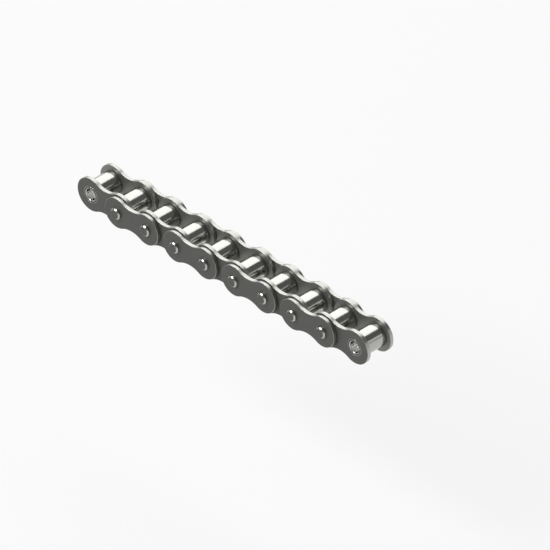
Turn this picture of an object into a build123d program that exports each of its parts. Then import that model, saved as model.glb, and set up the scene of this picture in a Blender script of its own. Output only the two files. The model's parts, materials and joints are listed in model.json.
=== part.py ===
from build123d import *
import os

# A straight length of single-strand roller chain. Roller links (two inner plates pressed on two
# bushes) alternate with pin links (two outer plates pressed on two pins), and a free roller turns
# on every bush. Both ends are roller links, so each end offers an open bush to a connecting link.
# Stations are the pin centres, numbered from 1. Station 1 is at the origin, on the pitch line.
# +X runs along the chain, +Y across it (front is the -Y side), +Z up.

# Chain
PITCH = 19.05                  # from one pin centre to the next
ROLLER_LINKS = 5               # the pin links between them are one fewer
INNER_WIDTH = 12.70            # between the inner plates, where the sprocket tooth runs

# Plates: height over the round lobes, height at the waist, thickness
INNER_PLATE_HEIGHT = 17.30
INNER_PLATE_WAIST = 12.50
INNER_PLATE_THICKNESS = 1.85
OUTER_PLATE_HEIGHT = 15.80
OUTER_PLATE_WAIST = 11.15
OUTER_PLATE_THICKNESS = 1.85

# Pins, bushes and rollers
PIN_DIAMETER = 5.96
PIN_PROJECTION = 1.50          # each pin end stands this far out of its outer plate
PIN_CHAMFER = 0.40
BUSH_WALL = 1.22
BUSH_CHAMFER = 0.30            # lead-in at each mouth of the bore
ROLLER_DIAMETER = 11.91

# Clearances
PIN_CLEARANCE = 0.03           # radial, pin in bush
ROLLER_CLEARANCE = 0.06        # radial, roller on bush
ROLLER_SIDE_CLEARANCE = 0.15   # roller end to inner plate, each side
PLATE_SIDE_CLEARANCE = 0.10    # inner plate to outer plate, each side

# Worked out from the sizes above
STATIONS = 2 * ROLLER_LINKS
BORE_DIAMETER = PIN_DIAMETER + 2 * PIN_CLEARANCE
BUSH_DIAMETER = BORE_DIAMETER + 2 * BUSH_WALL
BUSH_LENGTH = INNER_WIDTH + 2 * INNER_PLATE_THICKNESS
ROLLER_BORE = BUSH_DIAMETER + 2 * ROLLER_CLEARANCE
ROLLER_LENGTH = INNER_WIDTH - 2 * ROLLER_SIDE_CLEARANCE
OUTER_WIDTH = BUSH_LENGTH + 2 * PLATE_SIDE_CLEARANCE
PIN_LENGTH = OUTER_WIDTH + 2 * (OUTER_PLATE_THICKNESS + PIN_PROJECTION)
INNER_PLATE_Y = (INNER_WIDTH + INNER_PLATE_THICKNESS) / 2
OUTER_PLATE_Y = (OUTER_WIDTH + OUTER_PLATE_THICKNESS) / 2


def station_x(station):
    """Place of a pin centre along the chain."""
    return (station - 1) * PITCH


def plate_outline(height, waist):
    """Waisted outline about the middle of a link: two round lobes one pitch apart, joined by a web
    that two large arcs hollow from above and below. Each arc touches both lobes, so the edge has
    no corner."""
    lobe = height / 2
    half_pitch = PITCH / 2
    half_waist = waist / 2
    hollow = (half_pitch**2 + half_waist**2 - lobe**2) / (2 * (lobe - half_waist))
    hollow_centre = half_waist + hollow
    share = lobe / (lobe + hollow)
    touch_x = half_pitch * (1 - share)
    touch_z = hollow_centre * share
    outline = Rectangle(2 * touch_x, 2 * touch_z)
    for side in (-1, 1):
        outline -= Pos(0, side * hollow_centre) * Circle(hollow)
    for side in (-1, 1):
        outline += Pos(side * half_pitch, 0) * Circle(lobe)
    return outline


def link_plate(height, waist, thickness, hole_diameter):
    """Stamped plate standing in the XZ plane, centred on its link, with a press-fit hole in each
    lobe."""
    outline = plate_outline(height, waist)
    for side in (-1, 1):
        outline -= Pos(side * PITCH / 2, 0) * Circle(hole_diameter / 2)
    return Rot(X=90) * extrude(outline, thickness / 2, both=True)


def bush():
    """Sleeve that the inner plates are pressed on, flush with their outer faces."""
    outside = Cylinder(BUSH_DIAMETER / 2, BUSH_LENGTH)
    sleeve = outside - Cylinder(BORE_DIAMETER / 2, BUSH_LENGTH)
    mouths = sleeve.edges().filter_by(GeomType.CIRCLE).group_by(SortBy.RADIUS)[0]
    return Rot(X=90) * chamfer(mouths, BUSH_CHAMFER)


def roller():
    """Free roller that turns on its bush between the inner plates."""
    outside = Cylinder(ROLLER_DIAMETER / 2, ROLLER_LENGTH)
    return Rot(X=90) * (outside - Cylinder(ROLLER_BORE / 2, ROLLER_LENGTH))


def pin():
    """Plain pin with chamfered ends that stand out of the outer plates."""
    shank = Cylinder(PIN_DIAMETER / 2, PIN_LENGTH)
    return Rot(X=90) * chamfer(shank.edges().filter_by(GeomType.CIRCLE), PIN_CHAMFER)


def pair_of_plates(kind, number, station, plate, plate_y):
    """The front and back plate of the link whose first pin centre is at the given station."""
    middle = station_x(station) + PITCH / 2
    return {
        f"{kind}_plate_{number}_front": Pos(middle, -plate_y, 0) * plate,
        f"{kind}_plate_{number}_back": Pos(middle, plate_y, 0) * plate,
    }


def roller_links():
    """Inner plates, bushes and rollers."""
    plate = link_plate(INNER_PLATE_HEIGHT, INNER_PLATE_WAIST, INNER_PLATE_THICKNESS, BUSH_DIAMETER)
    nodes = {}
    for number in range(1, ROLLER_LINKS + 1):
        nodes |= pair_of_plates("inner", number, 2 * number - 1, plate, INNER_PLATE_Y)
    for station in range(1, STATIONS + 1):
        nodes[f"bush_{station}"] = Pos(station_x(station), 0, 0) * bush()
        nodes[f"roller_{station}"] = Pos(station_x(station), 0, 0) * roller()
    return nodes


def pin_links():
    """Outer plates and pins. A pin has the number of the bush and roller that it passes through."""
    plate = link_plate(OUTER_PLATE_HEIGHT, OUTER_PLATE_WAIST, OUTER_PLATE_THICKNESS, PIN_DIAMETER)
    nodes = {}
    for number in range(1, ROLLER_LINKS):
        nodes |= pair_of_plates("outer", number, 2 * number, plate, OUTER_PLATE_Y)
    for station in range(2, STATIONS):
        nodes[f"pin_{station}"] = Pos(station_x(station), 0, 0) * pin()
    return nodes


os.makedirs("parts", exist_ok=True)
for node, solid in (roller_links() | pin_links()).items():
    export_step(solid, f"parts/{node}.step")
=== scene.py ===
import json
import math

import bmesh
import bpy
from mathutils import Matrix, Vector


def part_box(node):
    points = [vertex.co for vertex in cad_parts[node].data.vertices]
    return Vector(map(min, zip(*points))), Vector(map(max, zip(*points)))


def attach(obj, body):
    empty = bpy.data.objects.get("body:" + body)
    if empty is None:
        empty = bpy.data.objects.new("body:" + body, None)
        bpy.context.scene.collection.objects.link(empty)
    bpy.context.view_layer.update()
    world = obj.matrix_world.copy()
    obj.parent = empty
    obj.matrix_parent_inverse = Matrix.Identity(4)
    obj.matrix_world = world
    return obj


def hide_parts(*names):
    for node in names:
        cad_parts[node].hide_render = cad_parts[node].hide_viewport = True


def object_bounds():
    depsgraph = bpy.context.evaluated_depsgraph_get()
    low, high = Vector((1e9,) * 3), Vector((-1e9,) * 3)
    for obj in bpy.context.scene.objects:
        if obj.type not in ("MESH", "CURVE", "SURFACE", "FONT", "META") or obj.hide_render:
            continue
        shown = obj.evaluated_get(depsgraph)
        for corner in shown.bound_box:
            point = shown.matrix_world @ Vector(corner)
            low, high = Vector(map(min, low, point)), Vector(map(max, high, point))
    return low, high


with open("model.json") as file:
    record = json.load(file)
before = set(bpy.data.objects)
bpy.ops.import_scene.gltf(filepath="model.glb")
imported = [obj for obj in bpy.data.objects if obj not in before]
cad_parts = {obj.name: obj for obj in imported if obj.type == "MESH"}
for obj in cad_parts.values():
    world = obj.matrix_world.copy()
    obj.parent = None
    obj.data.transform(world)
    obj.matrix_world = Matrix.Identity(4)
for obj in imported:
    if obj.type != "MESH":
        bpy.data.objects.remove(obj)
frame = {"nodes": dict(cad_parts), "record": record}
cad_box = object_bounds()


# Inner link plates. Waisted plates punched from cold-rolled strip steel, tumbled so that their
# edges are rounded and bright. A pair is pressed on two bushes to make a roller link.
class Value:
    """One socket's value in a material. Arithmetic on values adds Math nodes."""

    def __init__(self, tree, socket=None):
        self.tree = tree
        self.socket = socket

    def node(self, kind, settings=None, sockets=None, output=0):
        """Adds a node, makes its settings, then sets or links its sockets by name, identifier or
        place, and returns the value of one of its outputs."""
        made = self.tree.nodes.new(kind)
        for name, setting in (settings or {}).items():
            if name == "stops":
                ramp = made.color_ramp
                while len(ramp.elements) < len(setting):
                    ramp.elements.new(1.0)
                for element, (place, grey) in zip(ramp.elements, setting):
                    element.position = place
                    element.color = (grey, grey, grey, 1.0)
            else:
                setattr(made, name, setting)
        for key, given in (sockets or {}).items():
            if isinstance(key, int):
                socket = made.inputs[key]
            else:
                by_identifier = [s for s in made.inputs if s.identifier == key]
                socket = (by_identifier or [s for s in made.inputs if s.name == key])[0]
            if isinstance(given, Value):
                self.tree.links.new(given.socket, socket)
            else:
                socket.default_value = given
        return Value(self.tree, made.outputs[output] if made.outputs else None)

    def worked_out(self, operation, other):
        return self.node("ShaderNodeMath", {"operation": operation}, {0: self, 1: other})

    def __add__(self, other):
        return self.worked_out("ADD", other)

    __radd__ = __add__

    def __mul__(self, other):
        return self.worked_out("MULTIPLY", other)

    __rmul__ = __mul__

    def __sub__(self, other):
        return self.worked_out("SUBTRACT", other)

    def __rsub__(self, other):
        return (self * -1.0) + other


def steel(name, flat, worked, stretch, grain, scratches):
    """Bare steel. flat and worked are (colour, roughness, metallic) of its blanked or sawn flat
    faces and of its rounded, turned or ground walls. stretch gives how often the grain repeats
    in a metre along X, Y and Z, grain how deep it is in metres, scratches how much the tumbling
    marks change the gloss."""
    clouds_per_metre, scuffs_per_metre = 140.0, 900.0
    scuffed_from, scuffed_to, scuff_depth = 0.55, 0.72, 0.5
    mean_noise = 0.5
    cloud_tone, line_tone = 0.10, 0.08
    cloud_gloss, line_gloss = 0.06, 0.10

    material = bpy.data.materials.new(name)
    material.use_nodes = True
    material.node_tree.nodes.clear()
    start = Value(material.node_tree)
    place = start.node("ShaderNodeTexCoord", output=3)
    along = start.node("ShaderNodeVectorMath", {"operation": "MULTIPLY"}, {0: place, 1: stretch})
    lines = start.node("ShaderNodeTexNoise", None,
                       {"Vector": along, "Scale": 1.0, "Detail": 4.0, "Roughness": 0.62})
    cloud = start.node("ShaderNodeTexNoise", None,
                       {"Vector": place, "Scale": clouds_per_metre, "Detail": 3.0})
    scuffs = start.node("ShaderNodeTexNoise", None,
                        {"Vector": place, "Scale": scuffs_per_metre, "Detail": 5.0, "Distortion": 1.6})
    rim = start.node("ShaderNodeAttribute", {"attribute_name": "rim"}, output=2)
    scuff_mask = start.node("ShaderNodeValToRGB",
                            {"stops": [(scuffed_from, 0.0), (scuffed_to, 1.0)]}, {0: scuffs})
    # The rim mask mixes the flat faces' colour with the walls' colour, so faces given a painted-shade
    # colour come out darker than the walls.
    base = start.node("ShaderNodeMix", {"data_type": "RGBA"},
                      {"Factor_Float": rim, "A_Color": (*flat[0], 1.0), "B_Color": (*worked[0], 1.0)},
                      output=2)
    uneven = (cloud - mean_noise) * cloud_tone + (lines - mean_noise) * line_tone + 1.0
    tone = start.node("ShaderNodeVectorMath", {"operation": "SCALE"}, {0: base, "Scale": uneven})
    gloss = rim * (worked[1] - flat[1]) + flat[1]
    marks = (lines - mean_noise) * line_gloss + (cloud - mean_noise) * cloud_gloss
    gloss = marks + scuff_mask * scratches + gloss
    relief = start.node("ShaderNodeBump", None, {"Strength": 1.0, "Distance": grain,
                                                 "Height": lines + scuff_mask * scuff_depth})
    surface = start.node("ShaderNodeBsdfPrincipled", None,
                         {"Base Color": tone, "Metallic": rim * (worked[2] - flat[2]) + flat[2],
                          "Roughness": gloss, "Normal": relief})
    start.node("ShaderNodeOutputMaterial", None, {"Surface": surface})
    return material


def waisted_outline(pitch, lobe, half_waist):
    """The plate's edge about its middle as (x, z, outward x, outward z): two round lobes and two
    hollowed arcs that touch them."""
    lobe_steps, hollow_steps = 80, 20
    half_pitch = pitch / 2
    hollow = (half_pitch**2 + half_waist**2 - lobe**2) / (2 * (lobe - half_waist))
    reach = half_waist + hollow
    meet = math.atan2(reach, -half_pitch)
    arcs = [
        (half_pitch, 0.0, lobe, -meet, meet, 1, lobe_steps),
        (0.0, reach, hollow, meet - math.pi, -meet, -1, hollow_steps),
        (-half_pitch, 0.0, lobe, math.pi - meet, math.pi + meet, 1, lobe_steps),
        (0.0, -reach, hollow, meet, math.pi - meet, -1, hollow_steps),
    ]
    edge = []
    for x, z, radius, first, last, outward, steps in arcs:
        for step in range(steps):
            angle = first + (last - first) * step / steps
            c, s = math.cos(angle), math.sin(angle)
            edge.append((x + radius * c, z + radius * s, outward * c, outward * s))
    return edge


def circle(x, z, radius, steps, outward):
    """A round edge about (x, z) as (x, z, outward x, outward z); outward is -1 for a hole."""
    edge = []
    for step in range(steps):
        angle = 2 * math.pi * step / steps
        c, s = math.cos(angle), math.sin(angle)
        edge.append((x + radius * c, z + radius * s, outward * c, outward * s))
    return edge


def eased_side(low, high, low_radius, high_radius, low_rim=0.0, high_rim=0.0, steps=4):
    """A wall's profile from its low face to its high face as (inset, y, rim), with its two corners
    rounded. The rim value tells how far a surface is worked: 0 at a raw face, 1 on the wall."""
    profile = []
    for step in range(steps + 1):
        angle = math.pi / 2 * step / steps
        profile.append((low_radius * (1 - math.sin(angle)), low + low_radius * (1 - math.cos(angle))))
    for step in range(steps + 1):
        angle = math.pi / 2 * (1 - step / steps)
        profile.append((high_radius * (1 - math.sin(angle)), high - high_radius * (1 - math.cos(angle))))
    worked = [low_rim] + [1.0] * (len(profile) - 2) + [high_rim]
    return [(inset, y, rim) for (inset, y), rim in zip(profile, worked)]


def wall(bm, rim, edge, profile):
    """Carries an edge through a profile, and returns the rings of vertices at its two ends."""
    rings = []
    for inset, y, worn in profile:
        ring = []
        for x, z, out_x, out_z in edge:
            vertex = bm.verts.new((x - inset * out_x, y, z - inset * out_z))
            vertex[rim] = worn
            ring.append(vertex)
        rings.append(ring)
    for one, two in zip(rings, rings[1:]):
        for n in range(len(one)):
            after = (n + 1) % len(one)
            bm.faces.new((one[n], one[after], two[after], two[n]))
    return rings[0], rings[-1]


bodies = frame["record"]["behaviour"]["bodies"]
body_with = {node: body for body, nodes in bodies.items() for node in nodes}


def finish_piece(bm, node, material):
    """Turns a mesh into the piece that stands for a CAD node, with soft shading on its rounded
    edges and flat shading on its faces."""
    pull_of_large_faces = 90
    bmesh.ops.recalc_face_normals(bm, faces=bm.faces)
    mesh = bpy.data.meshes.new(node + "_finished")
    bm.to_mesh(mesh)
    bm.free()
    mesh.polygons.foreach_set("use_smooth", [True] * len(mesh.polygons))
    mesh.materials.append(material)
    piece = bpy.data.objects.new(node + "_finished", mesh)
    bpy.context.scene.collection.objects.link(piece)
    weighted = piece.modifiers.new("flat faces stay flat", "WEIGHTED_NORMAL")
    weighted.weight = pull_of_large_faces
    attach(piece, body_with[node])
    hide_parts(node)


def link_plate(node, half_waist, hole_radius, material):
    """A punched plate in its CAD node's place. The face away from the chain's middle has the
    larger edge radius that the punch draws in, the other the smaller one that tumbling leaves,
    and is made a little lighter and glossier: partly rubbed by its neighbours, partly painted
    light that lifts the shade between the plates."""
    drawn_in, tumbled, hole_ease, rubbed_and_painted_light = 0.00015, 0.00008, 0.00008, 0.35
    hole_steps = 64
    low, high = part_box(node)
    lobe = (high.z - low.z) / 2
    pitch = high.x - low.x - 2 * lobe
    centre = (low.x + high.x) / 2
    away = low.y + high.y > 0
    eases = (tumbled, drawn_in) if away else (drawn_in, tumbled)
    # The face towards the chain's middle is lifted towards the wall colour: partly rubbed by its
    # neighbours, partly painted light on the shaded faces between the plates.
    rims = (rubbed_and_painted_light, 0.0) if away else (0.0, rubbed_and_painted_light)
    bm = bmesh.new()
    rim = bm.verts.layers.float.new("rim")
    edge = [(x + centre, z, u, w) for x, z, u, w in waisted_outline(pitch, lobe, half_waist)]
    walls = [wall(bm, rim, edge, eased_side(low.y, high.y, *eases, *rims))]
    for side in (-1, 1):
        hole = circle(centre + side * pitch / 2, 0.0, hole_radius, hole_steps, -1)
        walls.append(wall(bm, rim, hole, eased_side(low.y, high.y, hole_ease, hole_ease, *rims)))
    for end in (0, 1):
        border = []
        for rings in walls:
            ring = rings[end]
            border += [bm.edges.get((ring[n], ring[(n + 1) % len(ring)])) for n in range(len(ring))]
        bmesh.ops.triangle_fill(bm, use_beauty=True, edges=border)
    finish_piece(bm, node, material)


# The flat faces of the plates, bush ends and pin ends take this dark colour. It is painted shade, far
# darker than their bare steel, and stands in for the shade that falls on these faces.
shade_painted_face = ((0.086, 0.0865, 0.080), 0.50, 0.50)
bright_edge = ((0.44, 0.442, 0.415), 0.32, 1.0)
plate_steel = steel("plate steel", shade_painted_face, bright_edge,
                    stretch=(90.0, 3500.0, 3500.0), grain=1.2e-6, scratches=0.05)
bush_low, bush_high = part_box("bush_1")
bush_radius = (bush_high.z - bush_low.z) / 2
inner_half_waist = 0.00625
for node in sorted(frame["nodes"]):
    if node.startswith("inner_plate"):
        link_plate(node, inner_half_waist, bush_radius, plate_steel)


# Bushes. Ground steel sleeves pressed into the inner plates and flush with them. Their bores are
# open at the two ends of the chain, with a small rounding that leads a pin in.
def turned(bm, rim, x, z, profile, steps):
    """Turns a closed profile of (radius, y, rim) about the line through (x, z) along Y."""
    rings = []
    for radius, y, worn in profile:
        ring = []
        for step in range(steps):
            angle = 2 * math.pi * step / steps
            vertex = bm.verts.new((x + radius * math.cos(angle), y, z + radius * math.sin(angle)))
            vertex[rim] = worn
            ring.append(vertex)
        rings.append(ring)
    for one, two in zip(rings, rings[1:] + rings[:1]):
        for n in range(steps):
            after = (n + 1) % steps
            bm.faces.new((one[n], one[after], two[after], two[n]))


def sleeve(node, bore_radius, bore_ease, outer_ease, material):
    """A turned sleeve in its CAD node's place, with eased edges at its bore and its outside."""
    steps_round = 96
    low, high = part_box(node)
    outer_radius = (high.z - low.z) / 2
    x = (low.x + high.x) / 2
    outside = [(outer_radius - inset, y, worn)
               for inset, y, worn in eased_side(low.y, high.y, outer_ease, outer_ease)]
    inside = [(bore_radius + inset, y, worn)
              for inset, y, worn in eased_side(low.y, high.y, bore_ease, bore_ease)]
    bm = bmesh.new()
    rim = bm.verts.layers.float.new("rim")
    turned(bm, rim, x, 0.0, outside + inside[::-1], steps_round)
    finish_piece(bm, node, material)


# The bore's colour is brighter than the other steel. It is partly ground bright and partly painted light
# that lifts the shade deep in the bores.
ground_bore_painted_bright = ((0.80, 0.80, 0.785), 0.18, 1.0)
bush_steel = steel("bush steel", shade_painted_face, ground_bore_painted_bright,
                   stretch=(500.0, 9000.0, 500.0), grain=0.8e-6, scratches=0.03)
bush_bore_radius = 0.00301
lead_in = 0.00030
bush_end_ease = 0.00006
for node in sorted(frame["nodes"]):
    if node.startswith("bush"):
        sleeve(node, bush_bore_radius, lead_in, bush_end_ease, bush_steel)


# Rollers. Cold-drawn steel sleeves that turn freely on the bushes. Polished bright outside, with
# rounded ends and the faint rings of their grinding.
faced_end = ((0.36, 0.362, 0.34), 0.30, 1.0)
polished_outside = ((0.45, 0.452, 0.425), 0.17, 1.0)
roller_steel = steel("roller steel", faced_end, polished_outside,
                     stretch=(120.0, 5000.0, 120.0), grain=0.6e-6, scratches=0.02)
roller_bore_radius = bush_radius + 0.00006
roller_bore_ease = 0.00020
roller_end_rounding = 0.00045
for node in sorted(frame["nodes"]):
    if node.startswith("roller"):
        sleeve(node, roller_bore_radius, roller_bore_ease, roller_end_rounding,
               roller_steel)


# Outer link plates. Punched as the inner ones are, a little less tall and outside them, pressed
# on the pins. Their faces are bare.
pin_low, pin_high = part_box("pin_2")
pin_radius = (pin_high.z - pin_low.z) / 2
outer_half_waist = 0.005575
for node in sorted(frame["nodes"]):
    if node.startswith("outer_plate"):
        link_plate(node, outer_half_waist, pin_radius, plate_steel)


# Pins. Ground steel pins pressed into the outer plates. Their chamfered ends stand out of the
# plates on both sides.
def link_pin(node, chamfer, material):
    """A pin in its CAD node's place: a shank with chamfered ends, each corner barely broken."""
    steps_round = 72
    broken = 0.00008
    slight, half, most, along_shank = broken * 0.3, broken * 0.5, broken * 0.7, broken * 3.0
    low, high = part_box(node)
    radius = (high.z - low.z) / 2
    x = (low.x + high.x) / 2
    half_length = (high.y - low.y) / 2
    one_end = [(chamfer + broken, half_length, 0.0),
               (chamfer, half_length - slight, 1.0),
               (chamfer - most, half_length - broken, 1.0),
               (most, half_length - chamfer + broken, 1.0),
               (0.0, half_length - chamfer - half, 1.0),
               (0.0, half_length - chamfer - along_shank, 1.0)]
    profile = one_end + [(inset, -y, worn) for inset, y, worn in reversed(one_end)]
    bm = bmesh.new()
    rim = bm.verts.layers.float.new("rim")
    back_end, front_end = wall(bm, rim, circle(x, 0.0, radius, steps_round, 1), profile)
    bm.faces.new(back_end)
    bm.faces.new(front_end[::-1])
    finish_piece(bm, node, material)


ground_shank = ((0.48, 0.482, 0.455), 0.22, 1.0)
pin_steel = steel("pin steel", shade_painted_face, ground_shank,
                  stretch=(900.0, 4000.0, 900.0), grain=0.8e-6, scratches=0.03)
pin_chamfer = 0.00060
for node in sorted(frame["nodes"]):
    if node.startswith("pin"):
        link_pin(node, pin_chamfer, pin_steel)


# Table. A plain pale sheet, far enough below the chain for its links to swing freely. It glows
# for the camera, so that it meets the white of the room and still shows a faint shadow.
low, high = cad_box
middle = (low + high) / 2
half_floor = 4.0
room_to_swing = 0.10
corners = [(-1, -1), (1, -1), (1, 1), (-1, 1)]
floor_mesh = bpy.data.meshes.new("table")
floor_mesh.from_pydata([(middle.x + u * half_floor, middle.y + v * half_floor, low.z - room_to_swing)
                        for u, v in corners],
                       [], [(0, 1, 2, 3)])
floor = bpy.data.objects.new("table", floor_mesh)
bpy.context.scene.collection.objects.link(floor)
paper_white = (0.93, 0.93, 0.93, 1.0)
washed_out = 0.7
pale = bpy.data.materials.new("pale table")
pale.use_nodes = True
pale.node_tree.nodes.clear()
start = Value(pale.node_tree)
paper = start.node("ShaderNodeBsdfPrincipled", None,
                   {"Base Color": paper_white, "Roughness": 0.9, "Specular IOR Level": 0.1})
white = start.node("ShaderNodeEmission", None, {"Strength": 1.0})
looked_at = sum(start.node("ShaderNodeLightPath", output=ray)
                for ray in ("Is Camera Ray", "Is Glossy Ray", "Is Transmission Ray"))
sheet = start.node("ShaderNodeMixShader", None, {0: looked_at * washed_out, 1: paper, 2: white})
start.node("ShaderNodeOutputMaterial", None, {"Surface": sheet})
floor_mesh.materials.append(pale)


# Light. A large soft box behind on the left, a thin strip light behind on the right and a smaller
# soft box in front on the left, in a dim room that is paler near the horizon.
def placed(x_axis, y_axis, z_axis, place):
    """The matrix that stands a thing on three axes at a place."""
    rows = Matrix((x_axis, y_axis, z_axis)).transposed().to_4x4()
    rows.translation = place
    return rows


def soft_box(name, towards, long_side, width, height, power):
    """Hangs a rectangular lamp in one direction from the chain's middle, facing it. long_side is
    the direction that its width runs in, as nearly as its facing allows."""
    light = bpy.data.lights.new(name, "AREA")
    light.shape = "RECTANGLE"
    light.size = width
    light.size_y = height
    light.energy = power
    lamp = bpy.data.objects.new(name, light)
    towards = Vector(towards).normalized()
    across = Vector(long_side) - towards * Vector(long_side).dot(towards)
    across.normalize()
    lamp.matrix_world = placed(across, towards.cross(across), towards, middle + towards * lamp_distance)
    bpy.context.scene.collection.objects.link(lamp)


lamp_distance = 3.0
soft_box("back soft box", towards=(-0.465, 0.572, 0.676), long_side=(0.824, 0.0, 0.566),
         width=4.05, height=1.6, power=42.0)
soft_box("strip light", towards=(0.752, 0.572, 0.327), long_side=(0.40, 0.0, -0.92),
         width=0.34, height=1.6, power=1.9)
soft_box("front soft box", towards=(-0.40, -0.577, 0.72), long_side=(1.0, 0.0, 0.0),
         width=1.7, height=1.7, power=70.0)

tone_by_height = [(0.0, 0.95), (0.01, 0.7), (0.08, 0.7), (0.2, 0.5), (0.34, 0.16), (1.0, 0.14)]
world = bpy.data.worlds.new("room")
bpy.context.scene.world = world
world.use_nodes = True
world.node_tree.nodes.clear()
start = Value(world.node_tree)
direction = start.node("ShaderNodeTexCoord")
height_above = start.node("ShaderNodeSeparateXYZ", None, {0: direction}, output=2)
room_tone = start.node("ShaderNodeValToRGB", {"stops": tone_by_height}, {0: height_above})
room = start.node("ShaderNodeBackground", None, {"Color": room_tone, "Strength": 1.0})
start.node("ShaderNodeOutputWorld", None, {"Surface": room})


# Camera. A very long lens from the front right and above, with the chain a little left of the
# middle.
camera = bpy.data.cameras.new("camera")
camera.lens = 1200.0
camera.clip_end = 40.0
eye = bpy.data.objects.new("camera", camera)
bpy.context.scene.collection.objects.link(eye)
azimuth, elevation, roll = math.radians(45.684), math.radians(35.114), math.radians(-0.494)
back = Vector((math.sin(azimuth) * math.cos(elevation), -math.cos(azimuth) * math.cos(elevation),
               math.sin(elevation)))
level = Vector((math.cos(azimuth), math.sin(azimuth), 0.0))
upright = back.cross(level)
right = level * math.cos(roll) + upright * math.sin(roll)
up = upright * math.cos(roll) - level * math.sin(roll)
picture_width, to_the_right, below = 0.25055, 0.01841, 0.00536
distance = picture_width * camera.lens / camera.sensor_width
on_pitch_line = Vector((middle.x, 0.0, 0.0))
eye.matrix_world = placed(right, up, back,
                          on_pitch_line + right * to_the_right - up * below + back * distance)
bpy.context.scene.camera = eye
bpy.context.scene.view_settings.view_transform = "Standard"
